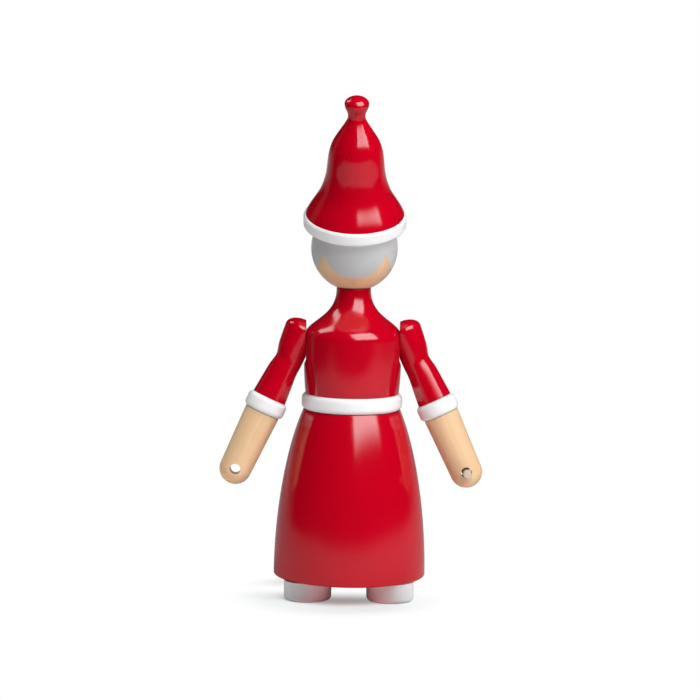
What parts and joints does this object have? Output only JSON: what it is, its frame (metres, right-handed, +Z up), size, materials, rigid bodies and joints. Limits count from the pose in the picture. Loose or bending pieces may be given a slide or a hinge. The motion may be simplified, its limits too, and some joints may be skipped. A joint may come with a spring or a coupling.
{
  "type": "wooden holiday figurine",
  "caption": "Turned wooden holiday figurine in a long red skirt and tall leaning hat, with a turning head, swinging arms and a peg in one hand.",
  "frame": {"origin": "on the standing surface, at the centre of the figure's footprint, under the axis of the body", "axes": "+Z up along the body's axis, -Y the way the figure faces, +X towards its left hand"},
  "size_m": [0.1048, 0.0606, 0.2005],
  "materials": {
    "red_lacquer": "smooth red lacquer with a satin gloss",
    "white_lacquer": "smooth white lacquer, semi-gloss",
    "natural_wood": "fine-grained pale wood under clear matt lacquer",
    "head_wood": "fine-grained pale wood under clear matt lacquer, with grey painted hair",
    "raw_wood": "bare dowel wood"
  },
  "bodies": {
    "body": {"skirt": "red_lacquer", "belt": "white_lacquer", "waist_dowel": "raw_wood", "bodice": "red_lacquer", "neck_dowel": "raw_wood", "left_shoe": "white_lacquer", "left_shoe_dowel": "raw_wood", "right_shoe": "white_lacquer", "right_shoe_dowel": "raw_wood"},
    "head": {"head": "head_wood", "hat_brim": "white_lacquer", "hat": "red_lacquer", "hat_dowel": "raw_wood"},
    "left_arm": {"left_sleeve": "red_lacquer", "left_shoulder_dowel": "raw_wood", "left_cuff": "white_lacquer", "left_forearm": "natural_wood"},
    "right_arm": {"right_sleeve": "red_lacquer", "right_shoulder_dowel": "raw_wood", "right_cuff": "white_lacquer", "right_forearm": "natural_wood"},
    "peg": {"hand_peg": "raw_wood"}
  },
  "joints": [
    {"name": "neck_turn", "type": "hinge", "parent": "body", "child": "head", "pos_m": [0, 0, 0.1234], "axis": [0, 0, 1], "continuous": true},
    {"name": "left_shoulder", "type": "hinge", "parent": "body", "child": "left_arm", "pos_m": [0.01865, 0, 0.1033], "axis": [1, 0, 0], "continuous": true},
    {"name": "right_shoulder", "type": "hinge", "parent": "body", "child": "right_arm", "pos_m": [-0.01865, 0, 0.1033], "axis": [1, 0, 0], "continuous": true},
    {"name": "peg_slide", "type": "slide", "parent": "right_arm", "child": "peg", "axis": [0, 0.9969, 0.0785], "range_m": [0, 0.013]}
  ]
}
